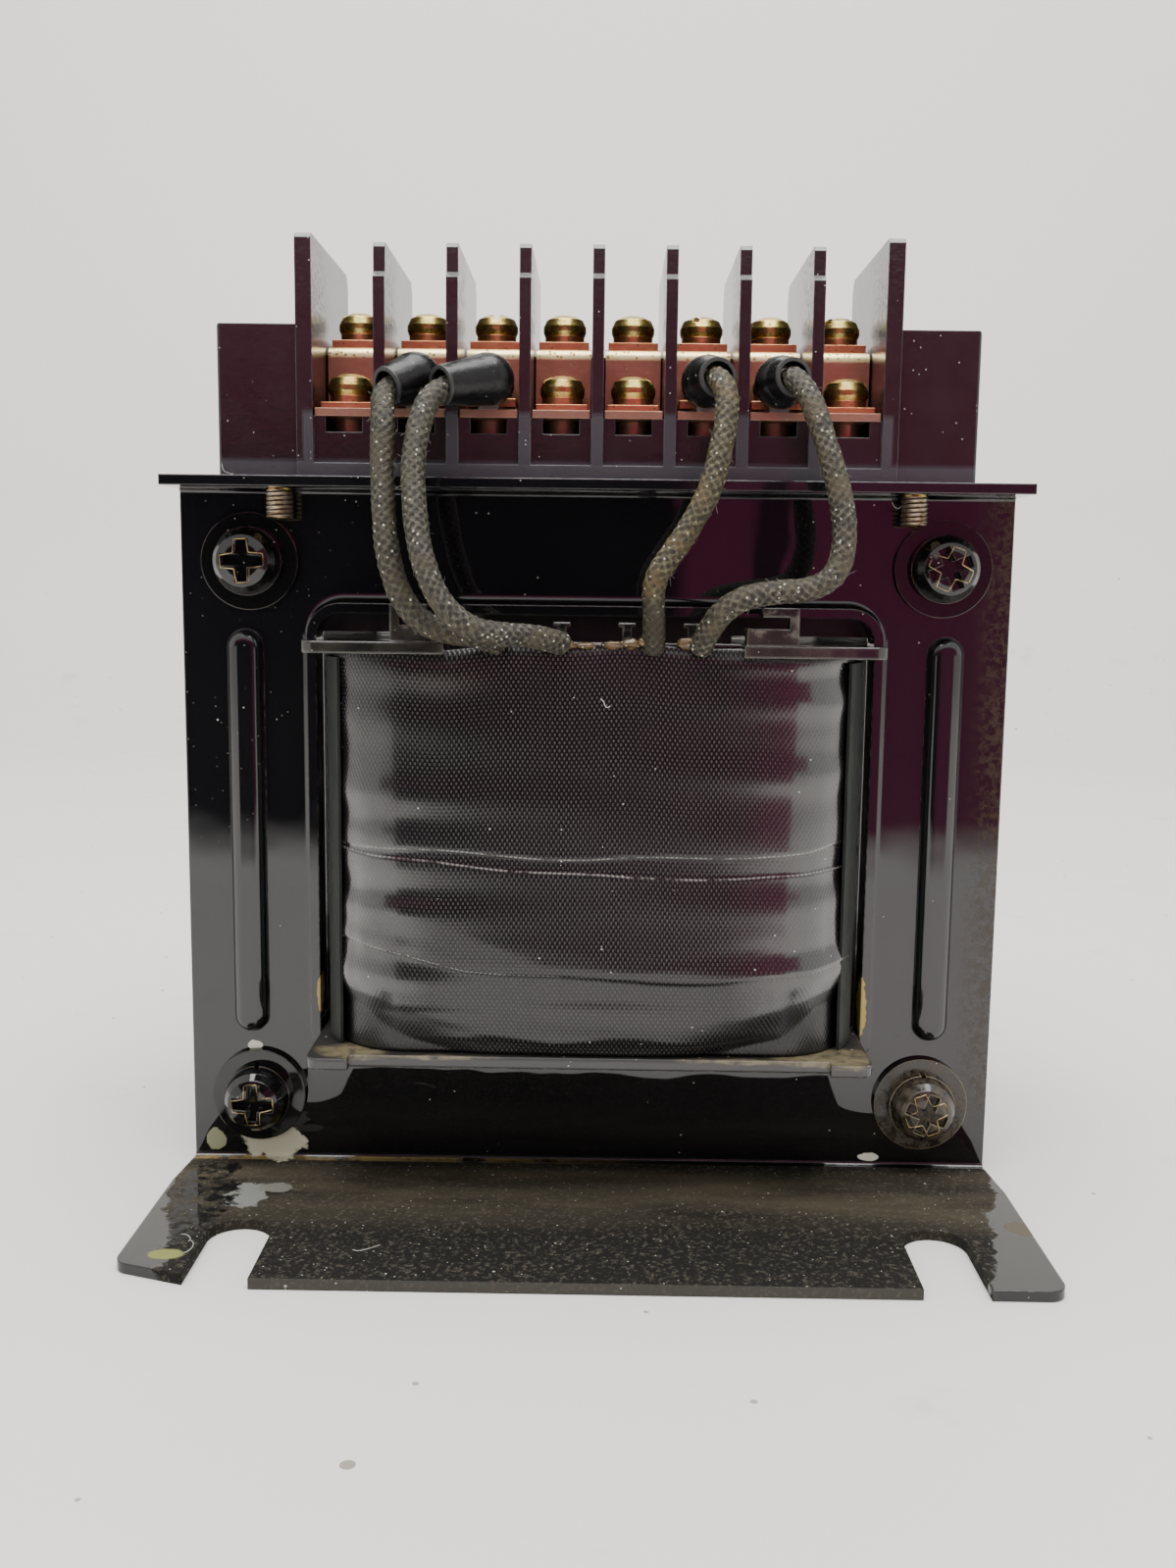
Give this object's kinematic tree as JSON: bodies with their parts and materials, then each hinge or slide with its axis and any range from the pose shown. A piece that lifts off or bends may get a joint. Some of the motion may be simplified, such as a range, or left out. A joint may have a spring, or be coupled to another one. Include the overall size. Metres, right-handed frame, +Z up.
{
  "type": "dry-type transformer with terminal block",
  "caption": "Open-frame transformer: one wound coil on a laminated core between two pressed brackets with slotted feet, sleeved leads and a barrier terminal block on top.",
  "frame": {"origin": "under the middle of the core, on the surface that the feet stand on", "axes": "+X to the right, +Y away from the side with the leads, +Z up"},
  "size_m": [0.1352, 0.1484, 0.1506],
  "materials": {
    "bracket_paint": "thick gloss black lacquer",
    "lamination_steel": "varnished lamination edges",
    "bobbin_plastic": "varnished black moulding",
    "winding_copper": "enamelled copper",
    "insulation_paper": "oiled paper",
    "cloth_tape": "varnished woven tape",
    "fibre_board": "varnished fibre board",
    "bolt_lacquer": "gloss black lacquer",
    "block_moulding": "pressed black resin",
    "terminal_metal": "nickel plate with a pink cast",
    "yellow_zinc": "yellow passivated zinc",
    "washer_zinc": "orange passivated zinc",
    "tinned_lug": "tin plate",
    "boot_rubber": "dusty grey-black rubber",
    "sleeving": "varnished glass braid"
  },
  "bodies": {
    "transformer": {"front_bracket": "bracket_paint", "rear_bracket": "bracket_paint", "e_packet_1": "lamination_steel", "i_packet_1": "lamination_steel", "e_packet_2": "lamination_steel", "i_packet_2": "lamination_steel", "e_packet_3": "lamination_steel", "i_packet_3": "lamination_steel", "e_packet_4": "lamination_steel", "i_packet_4": "lamination_steel", "bobbin": "bobbin_plastic", "primary_winding": "winding_copper", "interwinding_insulation": "insulation_paper", "secondary_winding": "winding_copper", "tape_wrap": "cloth_tape", "insulating_boards": "fibre_board", "clamp_bolts": "bolt_lacquer", "clamp_flat_washers": "bolt_lacquer", "clamp_spring_washers": "bolt_lacquer", "clamp_nuts": "bolt_lacquer", "terminal_base": "block_moulding", "terminal_plates": "terminal_metal", "block_fixing_screws": "yellow_zinc", "lead_screws": "yellow_zinc", "lead_washers": "washer_zinc", "lead_lugs": "tinned_lug", "boot_1": "boot_rubber", "lead_1": "sleeving", "boot_2": "boot_rubber", "lead_2": "sleeving", "boot_3": "boot_rubber", "lead_3": "sleeving", "boot_4": "boot_rubber", "lead_4": "sleeving"},
    "upper_washers_1": {"upper_washers_1": "washer_zinc"},
    "upper_screw_1": {"upper_screw_1": "yellow_zinc"},
    "upper_washers_2": {"upper_washers_2": "washer_zinc"},
    "upper_screw_2": {"upper_screw_2": "yellow_zinc"},
    "upper_washers_3": {"upper_washers_3": "washer_zinc"},
    "upper_screw_3": {"upper_screw_3": "yellow_zinc"},
    "upper_washers_4": {"upper_washers_4": "washer_zinc"},
    "upper_screw_4": {"upper_screw_4": "yellow_zinc"},
    "upper_washers_5": {"upper_washers_5": "washer_zinc"},
    "upper_screw_5": {"upper_screw_5": "yellow_zinc"},
    "upper_washers_6": {"upper_washers_6": "washer_zinc"},
    "upper_screw_6": {"upper_screw_6": "yellow_zinc"},
    "upper_washers_7": {"upper_washers_7": "washer_zinc"},
    "upper_screw_7": {"upper_screw_7": "yellow_zinc"},
    "upper_washers_8": {"upper_washers_8": "washer_zinc"},
    "upper_screw_8": {"upper_screw_8": "yellow_zinc"},
    "lower_washers_1": {"lower_washers_1": "washer_zinc"},
    "lower_screw_1": {"lower_screw_1": "yellow_zinc"},
    "lower_washers_4": {"lower_washers_4": "washer_zinc"},
    "lower_screw_4": {"lower_screw_4": "yellow_zinc"},
    "lower_washers_5": {"lower_washers_5": "washer_zinc"},
    "lower_screw_5": {"lower_screw_5": "yellow_zinc"},
    "lower_washers_8": {"lower_washers_8": "washer_zinc"},
    "lower_screw_8": {"lower_screw_8": "yellow_zinc"}
  },
  "joints": [
    {"name": "upper_screw_1_lift", "type": "slide", "parent": "transformer", "child": "upper_washers_1", "axis": [0, 0, 1], "range_m": [0, 0.0035]},
    {"name": "upper_screw_1_turn", "type": "hinge", "parent": "upper_washers_1", "child": "upper_screw_1", "pos_m": [-0.03895, -0.0202, 0.1359], "axis": [0, 0, 1], "range_deg": [0, 1800]},
    {"name": "upper_screw_2_lift", "type": "slide", "parent": "transformer", "child": "upper_washers_2", "axis": [0, 0, 1], "range_m": [0, 0.0035]},
    {"name": "upper_screw_2_turn", "type": "hinge", "parent": "upper_washers_2", "child": "upper_screw_2", "pos_m": [-0.02782, -0.0202, 0.1359], "axis": [0, 0, 1], "range_deg": [0, 1800]},
    {"name": "upper_screw_3_lift", "type": "slide", "parent": "transformer", "child": "upper_washers_3", "axis": [0, 0, 1], "range_m": [0, 0.0035]},
    {"name": "upper_screw_3_turn", "type": "hinge", "parent": "upper_washers_3", "child": "upper_screw_3", "pos_m": [-0.0167, -0.0202, 0.1359], "axis": [0, 0, 1], "range_deg": [0, 1800]},
    {"name": "upper_screw_4_lift", "type": "slide", "parent": "transformer", "child": "upper_washers_4", "axis": [0, 0, 1], "range_m": [0, 0.0035]},
    {"name": "upper_screw_4_turn", "type": "hinge", "parent": "upper_washers_4", "child": "upper_screw_4", "pos_m": [-0.00556, -0.0202, 0.1359], "axis": [0, 0, 1], "range_deg": [0, 1800]},
    {"name": "upper_screw_5_lift", "type": "slide", "parent": "transformer", "child": "upper_washers_5", "axis": [0, 0, 1], "range_m": [0, 0.0035]},
    {"name": "upper_screw_5_turn", "type": "hinge", "parent": "upper_washers_5", "child": "upper_screw_5", "pos_m": [0.00556, -0.0202, 0.1359], "axis": [0, 0, 1], "range_deg": [0, 1800]},
    {"name": "upper_screw_6_lift", "type": "slide", "parent": "transformer", "child": "upper_washers_6", "axis": [0, 0, 1], "range_m": [0, 0.0035]},
    {"name": "upper_screw_6_turn", "type": "hinge", "parent": "upper_washers_6", "child": "upper_screw_6", "pos_m": [0.0167, -0.0202, 0.1359], "axis": [0, 0, 1], "range_deg": [0, 1800]},
    {"name": "upper_screw_7_lift", "type": "slide", "parent": "transformer", "child": "upper_washers_7", "axis": [0, 0, 1], "range_m": [0, 0.0035]},
    {"name": "upper_screw_7_turn", "type": "hinge", "parent": "upper_washers_7", "child": "upper_screw_7", "pos_m": [0.02782, -0.0202, 0.1359], "axis": [0, 0, 1], "range_deg": [0, 1800]},
    {"name": "upper_screw_8_lift", "type": "slide", "parent": "transformer", "child": "upper_washers_8", "axis": [0, 0, 1], "range_m": [0, 0.0035]},
    {"name": "upper_screw_8_turn", "type": "hinge", "parent": "upper_washers_8", "child": "upper_screw_8", "pos_m": [0.03895, -0.0202, 0.1359], "axis": [0, 0, 1], "range_deg": [0, 1800]},
    {"name": "lower_screw_1_lift", "type": "slide", "parent": "transformer", "child": "lower_washers_1", "axis": [0, 0, 1], "range_m": [0, 0.0035]},
    {"name": "lower_screw_1_turn", "type": "hinge", "parent": "lower_washers_1", "child": "lower_screw_1", "pos_m": [-0.03895, -0.0306, 0.1249], "axis": [0, 0, 1], "range_deg": [0, 1800]},
    {"name": "lower_screw_4_lift", "type": "slide", "parent": "transformer", "child": "lower_washers_4", "axis": [0, 0, 1], "range_m": [0, 0.0035]},
    {"name": "lower_screw_4_turn", "type": "hinge", "parent": "lower_washers_4", "child": "lower_screw_4", "pos_m": [-0.00556, -0.0306, 0.1249], "axis": [0, 0, 1], "range_deg": [0, 1800]},
    {"name": "lower_screw_5_lift", "type": "slide", "parent": "transformer", "child": "lower_washers_5", "axis": [0, 0, 1], "range_m": [0, 0.0035]},
    {"name": "lower_screw_5_turn", "type": "hinge", "parent": "lower_washers_5", "child": "lower_screw_5", "pos_m": [0.00556, -0.0306, 0.1249], "axis": [0, 0, 1], "range_deg": [0, 1800]},
    {"name": "lower_screw_8_lift", "type": "slide", "parent": "transformer", "child": "lower_washers_8", "axis": [0, 0, 1], "range_m": [0, 0.0035]},
    {"name": "lower_screw_8_turn", "type": "hinge", "parent": "lower_washers_8", "child": "lower_screw_8", "pos_m": [0.03895, -0.0306, 0.1249], "axis": [0, 0, 1], "range_deg": [0, 1800]}
  ],
  "couplings": [
    {"joint": "upper_screw_1_turn", "follows": "upper_screw_1_lift", "rad_per_m": 8975.9},
    {"joint": "upper_screw_2_turn", "follows": "upper_screw_2_lift", "rad_per_m": 8975.9},
    {"joint": "upper_screw_3_turn", "follows": "upper_screw_3_lift", "rad_per_m": 8975.9},
    {"joint": "upper_screw_4_turn", "follows": "upper_screw_4_lift", "rad_per_m": 8975.9},
    {"joint": "upper_screw_5_turn", "follows": "upper_screw_5_lift", "rad_per_m": 8975.9},
    {"joint": "upper_screw_6_turn", "follows": "upper_screw_6_lift", "rad_per_m": 8975.9},
    {"joint": "upper_screw_7_turn", "follows": "upper_screw_7_lift", "rad_per_m": 8975.9},
    {"joint": "upper_screw_8_turn", "follows": "upper_screw_8_lift", "rad_per_m": 8975.9},
    {"joint": "lower_screw_1_turn", "follows": "lower_screw_1_lift", "rad_per_m": 8975.9},
    {"joint": "lower_screw_4_turn", "follows": "lower_screw_4_lift", "rad_per_m": 8975.9},
    {"joint": "lower_screw_5_turn", "follows": "lower_screw_5_lift", "rad_per_m": 8975.9},
    {"joint": "lower_screw_8_turn", "follows": "lower_screw_8_lift", "rad_per_m": 8975.9}
  ]
}
